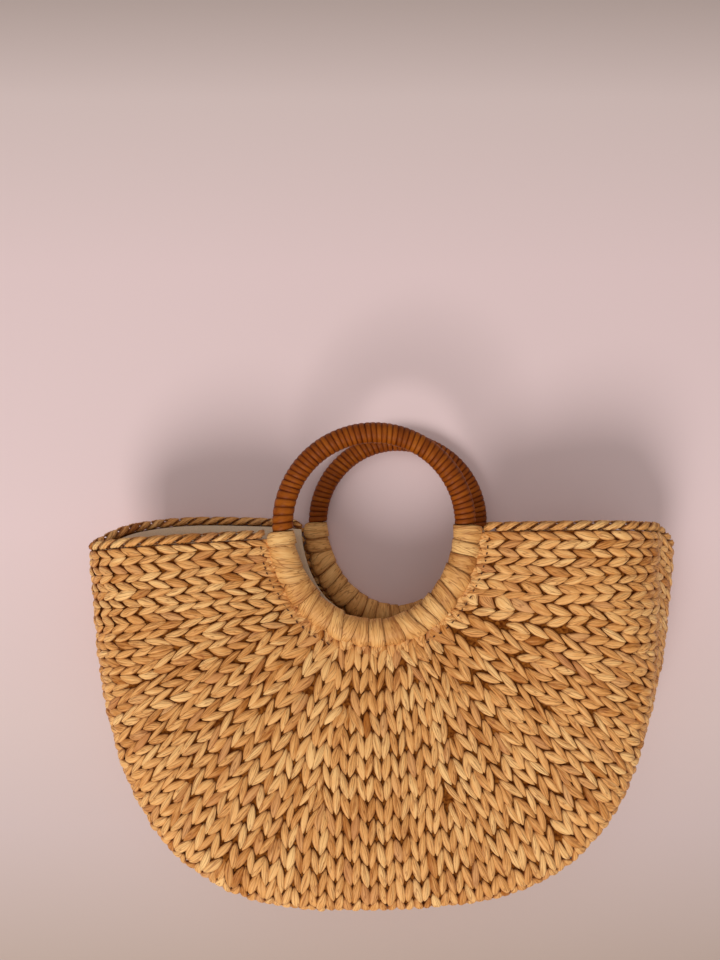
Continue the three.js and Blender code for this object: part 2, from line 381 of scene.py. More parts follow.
# %% Soft studio light
def soft_light(name, place, size, watts):
    """A round lamp that looks at the bag"""
    light = bpy.data.lights.new(name, "AREA")
    light.shape = "DISK"
    light.size = size
    light.energy = watts
    lamp = add_object(name, light)
    lamp.location = place
    lamp.rotation_euler = Vector(place).to_track_quat("Z", "Y").to_euler()
    print(name, "lamp,", watts, "W")


soft_light("key", (-0.60, -1.3, 1.75), 1.1, 29)
soft_light("overhead", (-0.2, 0.9, 2.6), 2.5, 8)
world = bpy.data.worlds.new("studio")
world.use_nodes = True
world.node_tree.nodes["Background"].inputs["Color"].default_value = (1.0, 0.97, 0.95, 1)
world.node_tree.nodes["Background"].inputs["Strength"].default_value = 0.42
scene.world = world

# %% [markdown]
# ## Straw
# Water hyacinth stems dry into flat, spongy strands. Fine fibres run along each strand, no two
# strands have quite the same brown, and the light is caught by the ridges between the fibres.
# The pattern follows a strand, so it is painted in each strand's own coordinates: a UV map says
# how far along and across the strand a point is, and an attribute gives every strand its own
# tone, blush and seed, so that no two strands look the same.

# %% A strand's own coordinates, and noise drawn out along it
mix_colour_a, mix_colour_b, mix_colour_out = 6, 7, 2
seed_spread = 57.0


def math_node(tree, operation, *values):
    links = dict(enumerate(values))
    return add_node(tree, "ShaderNodeMath", links, operation=operation).outputs[0]


def mix_colours(tree, share, one, other):
    one = (*one, 1) if isinstance(one, tuple) else one
    other = (*other, 1) if isinstance(other, tuple) else other
    links = {"Factor": share, mix_colour_a: one, mix_colour_b: other}
    return add_node(tree, "ShaderNodeMix", links, data_type="RGBA").outputs[mix_colour_out]


def strand_coordinates(tree):
    """Along and across the strand from 0 to 1, and the strand's own tone, blush and seed"""
    strand = add_node(tree, "ShaderNodeUVMap", uv_map="strand").outputs["UV"]
    own = add_node(tree, "ShaderNodeAttribute", attribute_name="own").outputs["Color"]
    own = add_node(tree, "ShaderNodeSeparateColor", {"Color": own}).outputs
    along, across, _ = add_node(tree, "ShaderNodeSeparateXYZ", {"Vector": strand}).outputs
    return along, across, own["Red"], own["Green"], own["Blue"]


def fibre_noise(tree, along, across, seed, along_scale, across_scale, detail, offset):
    u = math_node(tree, "MULTIPLY", along, along_scale)
    v = math_node(tree, "MULTIPLY", across, across_scale)
    w = math_node(tree, "ADD", math_node(tree, "MULTIPLY", seed, seed_spread), offset)
    at = add_node(tree, "ShaderNodeCombineXYZ", {"X": u, "Y": v, "Z": w}).outputs[0]
    links = {"Vector": at, "Scale": 1.0, "Detail": detail, "Roughness": 0.65}
    return add_node(tree, "ShaderNodeTexNoise", links).outputs["Fac"]


# %% What is painted on a strand
crease_half_width = 0.035
painted_shade_tint = (0.50, 0.26, 0.02)


def straw_brown(tree, tone, fine, broad, dark, middle, light):
    """Brown that changes from strand to strand and from fibre to fibre"""
    level = math_node(tree, "MULTIPLY_ADD", fine, 0.5, tone)
    level = math_node(tree, "MULTIPLY_ADD", broad, 0.5, level)
    return colour_ramp(tree, level, ((0.22, dark), (0.47, middle), (0.72, light)))


def crease_lines(tree, noise, strength):
    """Thin lines where the strand has folded as it dried"""
    off_line = math_node(tree, "ABSOLUTE", math_node(tree, "SUBTRACT", noise, 0.5))
    return remap(tree, off_line, 0.0, crease_half_width, strength, 0.0)


def painted_shade_tucked_in(tree, along, across, painted_edge_shade):
    """Painted shade on the strand's edges, and on the end that dives under the next strand"""
    rim = math_node(tree, "ABSOLUTE", math_node(tree, "MULTIPLY_ADD", across, 2.0, -1.0))
    rim = remap(tree, rim, 0.42, 0.95, 0.0, painted_edge_shade)
    end = remap(tree, along, 0.0, 0.14, painted_edge_shade, 0.0)
    return math_node(tree, "MAXIMUM", rim, end)


def add_bump(tree, shader, height, strength, distance):
    links = {"Height": height, "Strength": strength, "Distance": distance}
    bump = add_node(tree, "ShaderNodeBump", links)
    tree.links.new(bump.outputs["Normal"], shader.inputs["Normal"])


# %% The straw material
def straw_material(
    name, dark, middle, light, blush, fibres, gloss, relief, creases=1.0, painted_edge_shade=0.92, shine=0.25
):
    """fibres counts them across a strand, gloss is the roughness, relief the bump's depth, creases
    how deep the folds are and how much painted shade lies in them, and the argument before shine
    how much painted shade darkens the strand's edges and the end tucked under the next strand"""
    material, tree, shader = make_material(name)
    along, across, tone, flush, seed = strand_coordinates(tree)
    fine = fibre_noise(tree, along, across, seed, 2.0, fibres * 2.2, 3.0, 0.0)
    broad = fibre_noise(tree, along, across, seed, 1.1, fibres * 0.55, 2.0, 9.0)
    folds = fibre_noise(tree, along, across, seed, 0.7, fibres * 0.8, 1.0, 21.0)
    crease = crease_lines(tree, folds, creases)
    # deep: the straw's dark brown in shade, painted where folds, edges and tucked-in ends lie
    deep = tuple(value * share for value, share in zip(dark, painted_shade_tint))

    colour = straw_brown(tree, tone, fine, broad, dark, middle, light)
    colour = mix_colours(tree, flush, colour, blush)
    # painted shade: first in the folds, then on the edges and the tucked-in end
    colour = mix_colours(tree, math_node(tree, "MULTIPLY", crease, 0.6), colour, deep)
    colour = mix_colours(tree, painted_shade_tucked_in(tree, along, across, painted_edge_shade), colour, deep)
    tree.links.new(colour, shader.inputs["Base Color"])

    rough = remap(tree, fine, 0.0, 1.0, gloss - 0.12, gloss + 0.16)
    tree.links.new(rough, shader.inputs["Roughness"])
    height = math_node(tree, "MULTIPLY_ADD", broad, 1.2, fine)
    height = math_node(tree, "MULTIPLY_ADD", crease, -0.5, height)
    add_bump(tree, shader, height, 0.9, relief)
    shader.inputs["Specular IOR Level"].default_value = shine
    print("made the material:", name)
    return material


plait_straw = straw_material(
    "plaited straw",
    dark=(0.46, 0.145, 0.016),
    middle=(0.84, 0.395, 0.118),
    light=(1.0, 0.585, 0.225),
    blush=(0.62, 0.26, 0.09),
    fibres=5.0,
    gloss=0.5,
    relief=0.0005,
)

# %% [markdown]
# ## The plait
# Each row of plait looks like a row of knitting: pairs of plump strands that meet in a V. In
# nearly all rows the V's point away from the rings. Beside the rings there is room for about 20
# rows and at the edge for 63, so the weaver lets a new row in wherever the others would grow too
# wide. We work out where each row runs first, and then set one strand after another on it.

# %% Reading the surface between its points
past_ends = 6


def sample(field, share, station):
    """Reads a grid at a share of the outline and a station (a point's number) along the row"""
    i = np.clip(share * (len(shares) - 1), 0, len(shares) - 1.001)
    last = field.shape[1] - 1
    j = np.clip(station, -past_ends, last + past_ends)
    i0, j0 = i.astype(int), np.clip(np.floor(j), 0, last - 1).astype(int)
    fi, fj = i - i0, j - j0
    if field.ndim == 3:
        fi, fj = fi[..., None], fj[..., None]
    low = field[i0, j0] * (1 - fj) + field[i0, j0 + 1] * fj
    high = field[i0 + 1, j0] * (1 - fj) + field[i0 + 1, j0 + 1] * fj
    return low * (1 - fi) + high * fi


def running_length(points, axis):
    step = np.linalg.norm(np.diff(points, axis=axis), axis=-1)
    return np.concatenate([np.zeros_like(np.take(step, [0], axis)), np.cumsum(step, axis)], axis)


round_length = running_length(grid, 0)
row_length = running_length(grid, 1)
stations = np.arange(grid.shape[1])
girth = round_length[-1]
girth_rate = np.gradient(round_length, axis=0) * (len(shares) - 1)
print("girth at the ring and the edge, mm:", np.round(girth[[0, 100]] * 1000))

# %% [markdown]
# On the real bag the rows keep straight as they fan out from the rings, and at the bottom a
# wedge of them hangs upright. For each row we draw that straight line, and look up where the
# grid crosses it.

# %% Where each row wants to run
edge_rows = 63
side_zone, bottom_zone = (0.081, 0.21), (0.41, 0.42)
row_share_at_edge = (np.arange(edge_rows) + 0.5) / edge_rows
search_reach = 0.2


def ring_share_of(share):
    edge_shares, ring_shares = [0, side_zone[0], bottom_zone[0]], [0, side_zone[1], bottom_zone[1]]
    return mirrored(lambda half: np.interp(half, edge_shares, ring_shares), share)


def wanted_lines():
    """Grid share of each row at each station: straight rows that fan out from the ring, and
    upright rows in a wedge at the bottom that grows towards the edge"""
    ring_x, ring_y = ring_point(ring_share_of(row_share_at_edge), plait_start)
    edge_x, edge_y = edge_point(row_share_at_edge)
    wedge_ring = ring_point(1 - bottom_zone[1], plait_start)[0]
    wedge_edge = edge_point(1 - bottom_zone[0])[0]
    from_x, from_y = ring_point(grid_ring_share(shares), plait_start)
    to_x, to_y = edge_point(shares)
    upright = np.abs(row_share_at_edge - 0.5) < 0.5 - bottom_zone[0]
    lines = np.empty((edge_rows, len(stations)))
    for j in stations:
        out = min(1.0, j / front_steps, (stations[-1] - j) / back_steps)
        x = from_x + (to_x - from_x) * out
        y = from_y + (to_y - from_y) * out
        wedge = wedge_ring + (wedge_edge - wedge_ring) * out
        for k in range(edge_rows):
            if upright[k]:
                aside = x - np.clip(edge_x[k], -wedge, wedge)
            else:
                way_x, way_y = edge_x[k] - ring_x[k], edge_y[k] - ring_y[k]
                aside = -((x - ring_x[k]) * way_y - (y - ring_y[k]) * way_x)
            near = np.abs(shares - row_share_at_edge[k]) < search_reach
            lines[k, j] = np.interp(0, aside[near], shares[near])
    return lines


wanted = wanted_lines()
wanted_arc = np.array([np.interp(wanted[:, j], shares, round_length[:, j]) for j in stations]).T
row_width = girth.max() / edge_rows
room_there = np.gradient(wanted_arc, axis=0) / row_width
print("room for rows at the ring:", np.round(room_there[:32:4, 0], 2))

# %% [markdown]
# A row starts where it has enough room, and each row asks for a different amount, so the starts
# are scattered as on the real bag. The golden ratio scatters them evenly. Then the rows push
# each other aside like springs, so that no gap is left where a row hasn't started yet.

# %% Let new rows in where there is room
golden = (math.sqrt(5) - 1) / 2
growing = 0.11
threshold = growing / 2 + (1 - growing) * (np.arange(edge_rows) * golden % 1)
beside_wedge = int(bottom_zone[0] * edge_rows - 0.5)
threshold[[beside_wedge, edge_rows - 1 - beside_wedge]] = 0
weight = ease(room_there - threshold[:, None], -growing / 2, growing / 2)
rows_there = weight.sum(0)
print("rows at ring, edge and back:", np.round(rows_there[[0, 40, 100, 200]], 1))

# %% Spread the rows over the surface
stiffness = 7.0
least_pull = 0.01
blur, blur_reach = 3.5, 12


def spread_rows():
    """Rows joined by springs of their own width, each drawn to the line it wants"""
    place = np.empty_like(weight)
    springs = 2 * np.eye(edge_rows) - np.eye(edge_rows, k=1) - np.eye(edge_rows, k=-1)
    for j in stations:
        width = girth[j] / rows_there[j]
        there = weight[:, j]
        between = np.concatenate([there[:1], there[:-1] + there[1:], there[-1:]]) / 2 * width
        matrix = np.diag(there + least_pull) + stiffness * springs
        pull = (there + least_pull) * wanted_arc[:, j]
        pull += stiffness * (between[:-1] - between[1:])
        pull[-1] += stiffness * girth[j]
        place[:, j] = np.linalg.solve(matrix, pull)
    none = np.zeros((1, len(stations)))
    ends = np.concatenate([none, place, girth[None]])
    count_ends = np.concatenate([none, weight, none])
    counted = (count_ends[:-2] + 2 * weight + count_ends[2:]) / 2
    return place, (ends[2:] - ends[:-2]) / np.maximum(counted, 0.5)


def smooth_along(field):
    """Blurs each row's values from station to station"""
    steps = np.arange(-blur_reach, blur_reach + 1)
    kernel = np.exp(-0.5 * (steps / blur) ** 2)
    kernel /= kernel.sum()
    before, after = np.repeat(field[:, :1], blur_reach, 1), np.repeat(field[:, -1:], blur_reach, 1)
    padded = np.concatenate([before, field, after], 1)
    return np.array([np.convolve(line, kernel, "valid") for line in padded])


row_place, row_spacing = spread_rows()
row_share = np.array([np.interp(row_place[:, j], round_length[:, j], shares) for j in stations]).T
row_share = smooth_along(row_share)
row_room = weight * smooth_along(row_spacing)
print("row widths, mm:", np.round(row_room[10:32:7, 60] * 1000, 1))

# %% [markdown]
# ## One strand
# A strand is plump in the middle and pointed where it dives under its neighbours. A sphere laid
# on its side already has the right faces, few of them and closed at both ends, so we only
# reshape it. It is used about 3,000 times, and copies of one small shape stay light.

# %% One strand
fattest_ahead = 0.10
flatter_below = 0.6


def points_and_faces(shape):
    """The corners and faces that the operators have made, and the end of the bmesh"""
    shape.verts.index_update()
    points = np.array([v.co[:] for v in shape.verts])
    faces = [[v.index for v in f.verts] for f in shape.faces]
    shape.free()
    return points, faces


def strand_template(around, along):
    """A strand 1 long and 2 wide, plump in the middle and pointed at both ends"""
    shape = bmesh.new()
    bmesh.ops.create_uvsphere(shape, u_segments=around, v_segments=along, radius=1)
    bmesh.ops.rotate(shape, verts=shape.verts, matrix=Matrix.Rotation(math.pi / 2, 3, "Y"))
    points, faces = points_and_faces(shape)
    x, y, z = points.T
    girth_here = np.sqrt(np.maximum(1 - x**2, 1e-9))
    at_end = np.abs(x) > 0.999
    y = np.where(at_end, 0, y / girth_here)
    z = np.where(at_end, 0, z / girth_here)
    x = x + fattest_ahead * (1 - x**2)
    broad = (1 - np.abs(x) ** 2.0) ** 0.80
    thick = (1 - np.abs(x) ** 2.4) ** 0.75
    return {
        "along": x / 2,
        "across": y * broad,
        "rise": np.where(z > 0, z, z * flatter_below) * thick,
        "uv": np.stack([(x + 1) / 2, np.arcsin(np.clip(y, -1, 1)) / math.pi + 0.5], -1),
        "faces": faces,
    }


strand = strand_template(around=10, along=7)
print("faces on a strand:", len(strand["faces"]))

# %% Join copies of a strand, each with its own looks
def strands_to_object(name, template, points, own, material):
    """Joins many copies of a strand into one mesh. points is (copies, corners, 3)"""
    copies, corners = points.shape[:2]
    faces = np.array([f + [-1] * (4 - len(f)) for f in template["faces"]])
    offsets = (np.arange(copies) * corners)[:, None, None]
    faces = np.where(faces[None] < 0, -1, faces[None] + offsets).reshape(-1, 4)
    mesh = bpy.data.meshes.new(name)
    mesh.from_pydata(points.reshape(-1, 3), [], [[i for i in f if i >= 0] for f in faces.tolist()])
    corner = np.empty(len(mesh.loops), int)
    mesh.loops.foreach_get("vertex_index", corner)
    mesh.uv_layers.new(name="strand").data.foreach_set(
        "uv", np.tile(template["uv"], (copies, 1))[corner].ravel()
    )
    colour = np.ones((copies, corners, 4))
    colour[:, :, :3] = own[:, None, :]
    mesh.attributes.new("own", "FLOAT_COLOR", "POINT").data.foreach_set("color", colour.ravel())
    mesh.shade_smooth()
    mesh.materials.append(material)
    made = add_object(name, mesh)
    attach(made, "root")
    mesh.calc_loop_triangles()
    print(name, "copies", copies, "triangles", len(mesh.loop_triangles))
    return made


def own_looks(rng, count, blushing=0.10):
    """Tone, blush and seed for each strand; blushing is the share of strands that do"""
    tone = rng.normal(0, 0.09, count)
    flush = np.where(rng.random(count) < blushing, rng.uniform(0.2, 0.7, count), 0)
    return np.stack([np.clip(tone, -0.3, 0.3), flush, rng.random(count)], -1)


# %% [markdown]
# ## Laying the strands
# Each stitch is two strands, one on each side of its row, that lean together into a V. Curve or
# array modifiers could repeat a strand along a row, but not let it widen, lean and start at its
# own place. So we read the surface at every point of every strand: the strand follows the
# basket over the edge, and where a row is narrow it gets narrow and sinks a little.

# %% How the strands of a stitch differ
rng = np.random.default_rng(7)
bottomness = np.sin(np.pi * shares) ** 2
uprightness = np.sin(np.pi * shares) ** 10
stitch_length = 0.0121 + 0.0017 * bottomness
stitch_count = row_length / stitch_length[:, None]
strand_half_width = 0.0033
strand_length, shorter_upright = 1.36, 0.08


def draw_stitches(first, last, upright):
    """Place, side, length (in stitches), width, lift and sway of two strands a stitch"""
    middle = np.repeat(np.arange(first, last) + 0.5 + rng.uniform(-0.1, 0.1), 2)
    side = np.tile([-1.0, 1.0], len(middle) // 2)
    middle = middle + rng.normal(0, 0.05, len(middle))
    length = (strand_length - shorter_upright * upright) * rng.normal(1, 0.06, len(middle))
    width = strand_half_width * np.clip(rng.normal(1, 0.09, len(middle)), 0.8, 1.25)
    lift = rng.normal(0, 0.00028, len(middle))
    sway = rng.normal(0, 0.03, len(middle))
    return middle, side, length, width, lift, sway


print("stitches from ring to ring:", np.round(stitch_count[::60, -1], 1))

# %% Points on the basket's surface
def follow_row(at, count, station):
    """Stations of points counted in stitches, also a little before the first and past the last"""
    rate = (count[-1] - count[0]) / (station[-1] - station[0])
    u = np.interp(at, count, station)
    return u + np.minimum(at - count[0], 0) / rate + np.maximum(at - count[-1], 0) / rate


def on_surface(share, station, height):
    return sample(grid, share, station) + sample(normals, share, station) * height[..., None]


half_way = on_surface(np.full(1, 0.5), np.full(1, 100.0), np.zeros(1))[0]
print("half-way round the bottom, mm:", np.round(half_way * 1000, 1))

# %% Lay the strands along the rows
crest, bed = 0.0013, -0.0026
tip_rise = 0.0010
just_there = 0.02
past_ring, past_start = 1.05, 0.3
full_row, thinnest, fullest = 0.0112, 0.8, 1.22
narrow_row, wide_row, narrow_sinks = 0.003, 0.009, 0.0012
off_middle, slant, less_slant_upright = 0.25, 0.38, 0.10
flipped_rows = 5


def lay_row(k):
    """Points, station and looks of the strands of one row of plait"""
    there = np.flatnonzero(weight[k] > just_there)
    station = stations[there].astype(float)
    share = row_share[k, there]
    count = sample(stitch_count, share, station)
    count = np.maximum.accumulate(count + np.arange(len(count)) * 1e-6)
    from_ring, to_ring = there[0] == 0, there[-1] == stations[-1]
    first = math.ceil(count[0] - (past_ring if from_ring else past_start))
    last = math.floor(count[-1] + (past_ring if to_ring else past_start))
    if last <= first:
        return None
    upright = np.interp(share.mean(), shares, uprightness)
    middle, side, length, width, lift, sway = draw_stitches(first, last, upright)

    # along the row, with the points of the V's away from the rings or towards them
    tip = -1.0 if k < flipped_rows else 1.0
    at = middle[:, None] + tip * strand["along"] * length[:, None]
    u = follow_row(at, count, station)

    # across the row, each strand on its own side and slanting to the middle
    room = np.interp(at, count, row_room[k, there])
    full = np.clip(room / full_row, thinnest, fullest)
    lean = off_middle - (slant - less_slant_upright * upright + sway[:, None]) * strand["along"]
    sideways = side[:, None] * room * lean + tip * strand["across"] * width[:, None] * full
    a = np.interp(u, station, share)
    a = a + sideways / sample(girth_rate, a, np.clip(u, 0, stations[-1]))

    # off the surface, higher at the tip, which lies on the next stitch
    sunk = narrow_sinks * (1 - ease(room, narrow_row, wide_row))
    middle_height = (crest + bed) / 2 + tip_rise * strand["along"] + lift[:, None] - sunk
    points = on_surface(a, u, middle_height + strand["rise"] * (crest - bed) / 2)
    points[..., 2] = np.maximum(points[..., 2], 0.0)
    return points, np.interp(middle, count, station), own_looks(rng, len(middle))


rows = [row for row in map(lay_row, range(edge_rows)) if row]
print("rows laid:", len(rows))

# %% Front, side and back of the plait
strand_points = np.concatenate([r[0] for r in rows])
strand_station = np.concatenate([r[1] for r in rows])
strand_own = np.concatenate([r[2] for r in rows])
front_end = front_steps + turn_steps * 0.28
back_start = front_steps + turn_steps * 0.72
parts = {
    "front_weave": strand_station < front_end,
    "side_weave": (strand_station >= front_end) & (strand_station < back_start),
    "back_weave": strand_station >= back_start,
}
for name, chosen in parts.items():
    piece = strands_to_object(
        name, strand, strand_points[chosen], strand_own[chosen], plait_straw
    )

# %% [markdown]
# Between the strands one sees more straw in deep shade, not a hole. A sheet a little below the
# strands gives that. It stands for the CAD model's smooth shell, which stays hidden.

# %% The shaded bed under the strands
bed_depth = 0.0015


def grid_object(name, points, material):
    """A sheet through a grid of points"""
    tall, wide = points.shape[:2]
    shape = bmesh.new()
    bmesh.ops.create_grid(shape, x_segments=wide - 1, y_segments=tall - 1, size=1)
    shape.verts.ensure_lookup_table()
    for vertex in shape.verts:
        column = round((vertex.co.x + 1) / 2 * (wide - 1))
        line = round((vertex.co.y + 1) / 2 * (tall - 1))
        vertex.co = points[line, column]
    mesh = bpy.data.meshes.new(name)
    shape.to_mesh(mesh)
    shape.free()
    mesh.shade_smooth()
    mesh.materials.append(material)
    made = add_object(name, mesh)
    print(name, "faces", len(mesh.polygons))
    return made


bed_straw, tree, shader = make_material("straw in the shade")
place = add_node(tree, "ShaderNodeTexCoord").outputs["Object"]
fibre = add_node(tree, "ShaderNodeTexNoise", {"Vector": place, "Scale": 420.0, "Detail": 3.0})
bed_shades = ((0.35, (0.08, 0.014, 0.0005)), (0.65, (0.32, 0.10, 0.014)))
tree.links.new(colour_ramp(tree, fibre.outputs["Fac"], bed_shades), shader.inputs["Base Color"])
shader.inputs["Roughness"].default_value = 0.9
shader.inputs["Specular IOR Level"].default_value = 0.05

bed_points = (grid - normals * bed_depth)[::2, ::2]
bed_sheet = grid_object("weave_bed", bed_points, bed_straw)
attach(bed_sheet, "root")
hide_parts("basket_shell")

# %% [markdown]
# ## The rings
# Each ring is wound in two ways: tight brown rattan on the grip, and broad straw straps on the
# half that carries the basket. A long spiral would be hard to vary from turn to turn, so every
# turn is a closed band of its own: we spin one band, and bend copies of it round the ring.

# %% One turn of a winding
def band_template(around, across):
    """A flat closed band: how far round the tube and across the band each corner is"""
    shape = bmesh.new()
    bmesh.ops.create_circle(shape, segments=across, radius=0.25)
    bmesh.ops.rotate(shape, verts=shape.verts, matrix=Matrix.Rotation(math.pi / 2, 3, "X"))
    bmesh.ops.translate(shape, verts=shape.verts, vec=(1, 0, 0))
    bmesh.ops.spin(
        shape,
        geom=shape.verts[:] + shape.edges[:],
        cent=(0, 0, 0),
        axis=(0, 0, 1),
        angle=2 * math.pi,
        steps=around,
        use_merge=True,
    )
    bmesh.ops.recalc_face_normals(shape, faces=shape.faces)
    points, faces = points_and_faces(shape)
    turn = np.arctan2(points[:, 1], points[:, 0])
    out = np.hypot(points[:, 0], points[:, 1]) - 1
    section = np.arctan2(out, points[:, 2])
    return {
        "turn": turn,
        "across": np.cos(section),
        "rise": np.sin(section),
        "uv": np.stack([2.5 + np.abs(turn) / math.pi * 2, 0.5 + 0.5 * np.cos(section)], -1),
        "faces": faces,
    }


print("faces on a turn of the grip:", len(band_template(28, 8)["faces"]))

# %% Bend turns round a ring
off_table = 0.0002


def ring_place(angle, half_x, half_y):
    """Centre and outward direction of the ring at an angle, counted from its right end"""
    centre = np.stack([half_x * np.cos(angle), half_y * np.sin(angle)], -1)
    out = np.stack([half_y * np.cos(angle), half_x * np.sin(angle)], -1)
    out /= np.linalg.norm(out, axis=-1, keepdims=True)
    return centre, out


def wind(band, middles, half_x, half_y, height, half_across, flat, deep, lift, lean, petal=0.0):
    """Bends a band round the ring at each of the middles (angles). flat and deep are the tube's
    half width and depth, lift is the band's own thickness, and petal rounds its outer side"""
    pitch_length = 0.5 * (half_x + half_y)
    tilt = lean[:, None] * np.cos(band["turn"])
    widen = half_across[:, None] * band["width"]
    angle = middles[:, None] + (tilt + widen * band["across"]) / pitch_length
    centre, out = ring_place(angle, half_x, half_y)
    swell = lift(band)
    outward = np.clip(np.cos(band["turn"]), 0, 1) ** 2
    reach = flat + swell + petal * outward * (1 - band["across"] ** 2)
    across = reach * np.cos(band["turn"])
    up = (deep + swell) * np.sin(band["turn"])
    flat_place = centre + out * across[..., None]
    place = settle(flat_place[..., 0], flat_place[..., 1], height + up + 0 * across)
    place = place + ring_centre
    place[..., 2] = np.maximum(place[..., 2], off_table)
    return place


print("ring's outward direction at its top:", np.round(ring_place(np.pi / 2, 1, 1)[1], 3))

# %% [markdown]
# The grip's strip is narrow and hard, with a dark line between its turns: shade in the groove,
# and painted shade on each turn's edges. At the left foot of the front grip the last few turns
# are wider and a little lighter.

# %% Brown rattan
rattan = straw_material(
    "brown rattan",
    dark=(0.18, 0.038, 0.002),
    middle=(0.27, 0.058, 0.003),
    light=(0.36, 0.092, 0.005),
    blush=(0.20, 0.04, 0.002),
    fibres=2.0,
    gloss=0.45,
    relief=0.0002,
    creases=0.5,
    shine=0.12,
)

# %% Wind the grips
grip_turns, wide_turns = 52, 5
wider, lighter = 1.45, 0.12
grip_end_drop = 0.002
rattan_sinks, rattan_thick = 0.0001, 0.0006


def grip_pitch(side, rng):
    """Edges (angles) and looks of one grip's turns"""
    pitch = rng.normal(1, 0.04, grip_turns)
    looks = own_looks(rng, grip_turns)
    if side == "front":
        pitch[-wide_turns:] *= wider
        looks[-wide_turns:, 0] += lighter
    edges = np.concatenate([[0], np.cumsum(pitch)]) / pitch.sum()
    past_end = math.asin(grip_end_drop / ring_radius)
    return -past_end + (math.pi + 2 * past_end) * edges, looks


def rattan_lift(band):
    return rattan_thick * band["rise"] * (1 - 0.2 * band["across"] ** 2)


for side, seed in (("front", 31), ("back", 32)):
    band = band_template(28, 8)
    band["width"] = 1.0
    rng = np.random.default_rng(seed)
    edges, looks = grip_pitch(side, rng)
    middles = (edges[1:] + edges[:-1]) / 2
    half_turn = ring_radius * np.diff(edges) / 2
    half_across = half_turn * rng.normal(1.10, 0.03, grip_turns)
    lean = half_turn * rng.normal(0.35, 0.06, grip_turns)
    tube = grip_radius - rattan_sinks
    points = wind(
        band, middles, ring_radius, ring_radius, ring_heights[side], half_across,
        tube, tube, rattan_lift, lean,
    )
    winding = strands_to_object("winding_" + side, band, points, looks, rattan)
    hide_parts("grip_" + side)

# %% [markdown]
# The straps are broad and soft. Each lies with one edge on the turn before, at its own slant,
# and they are a little narrower on the outside, where they fan out. A second layer below closes
# the gaps that this leaves.

# %% Straw for the straps
strap_straw = straw_material(
    "straw straps",
    dark=(0.48, 0.185, 0.042),
    middle=(0.79, 0.390, 0.120),
    light=(0.95, 0.56, 0.21),
    blush=(0.64, 0.30, 0.09),
    fibres=6.0,
    gloss=0.5,
    relief=0.0004,
    creases=1.0,
    # a lighter painted shade on each strap's edges, where it meets the next
    painted_edge_shade=0.38,
)

# %% Strap the lower half of each ring
strap_turns = 19
strap_half_width, strap_half_depth = wrap_width / 2 - 0.0018, wrap_depth / 2 - 0.0006
outer_narrowing = 0.22
under_layer_depth = 0.0007
strap_petal = 0.0008


def strap_lift(b):
    """Thickness of the strap, and its one edge lying on the turn before"""
    return 0.0004 * b["rise"] + 0.0006 * b["across"]


for side, seed in (("front", 41), ("back", 42)):
    band = band_template(36, 12)
    band["width"] = 1 - outer_narrowing * np.clip(np.cos(band["turn"]), 0, 1) ** 3
    start = math.asin((grip_end_drop + clearance) / wrap_drop)
    edges = np.linspace(math.pi + start, 2 * math.pi - start, strap_turns + 1)
    rng = np.random.default_rng(seed)
    edges[1:-1] += rng.normal(0, 0.022, strap_turns - 1)
    middles = (edges[1:] + edges[:-1]) / 2
    half_turn = 0.5 * (wrap_half_width + wrap_drop) * (edges[1:] - edges[:-1]) / 2
    half_across = half_turn * rng.normal(1.22, 0.12, strap_turns)
    lean = half_turn * rng.normal(0.1, 0.45, strap_turns)
    half_across[[0, -1]] = half_turn[[0, -1]]
    lean[[0, -1]] = 0
    lift = rng.uniform(0, 0.0007, strap_turns)[:, None]
    over = wind(
        band, middles, wrap_half_width, wrap_drop, ring_heights[side], half_across,
        strap_half_width, strap_half_depth, lambda b: strap_lift(b) + lift, lean, strap_petal,
    )
    under = wind(
        band, edges[1:-1], wrap_half_width, wrap_drop, ring_heights[side], half_turn[1:] * 1.3,
        strap_half_width - under_layer_depth, strap_half_depth - under_layer_depth,
        strap_lift, 0 * lean[1:],
    )
    points = np.concatenate([over, under])
    straps = strands_to_object(
        "straps_" + side, band, points, own_looks(rng, len(points), 0.05), strap_straw
    )
    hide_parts("ring_wrap_" + side)

# %% [markdown]
# ## Sewn ends
# Where the rows of plait meet the straps, their ends are pressed flat and sewn down with a dark
# thread. The flat ends are short strands laid round the ring, and the thread is a dotted line
# of very small ones. It doesn't show at the bottom of the rings, so it is left out there.

# %% Flat ends and thread beside the straps
measured_at = 8


def lay_round_ring(template, place, out, length, half_width, low, high, turned, rng):
    """Strands set round a ring: place counts along the ring, out away from it"""
    along, across, rise = template["along"], template["across"], template["rise"]
    count = len(place)
    angle = turned + rng.normal(0, 0.22, count)
    long_way = along * length * rng.normal(1, 0.12, count)[:, None]
    short_way = across * half_width * rng.normal(1, 0.12, count)[:, None]
    away = out + rng.normal(0, 0.0004, count)[:, None]
    away = away + long_way * np.cos(angle)[:, None] - short_way * np.sin(angle)[:, None]
    aside = long_way * np.sin(angle)[:, None] + short_way * np.cos(angle)[:, None]
    share = np.interp(place, round_length[:, 0], shares)
    station_size = np.interp(share, shares, row_length[:, measured_at]) / measured_at
    station = away / station_size[:, None]
    share = share[:, None] + 0 * aside
    share = share + aside / sample(girth_rate, share, np.maximum(station, 0))
    height = (low + high) / 2 + rise * (high - low) / 2
    return on_surface(share, station, height)


rng = np.random.default_rng(61)
place = np.arange(0.004, girth[0] - 0.003, 0.0056)
ends = lay_round_ring(strand, place, 0.0006, 0.0120, 0.0031, -0.0030, 0.0009, 0.0, rng)
flat_ends = strands_to_object(
    "flat_ends", strand, ends, own_looks(rng, len(place), 0.2), plait_straw
)

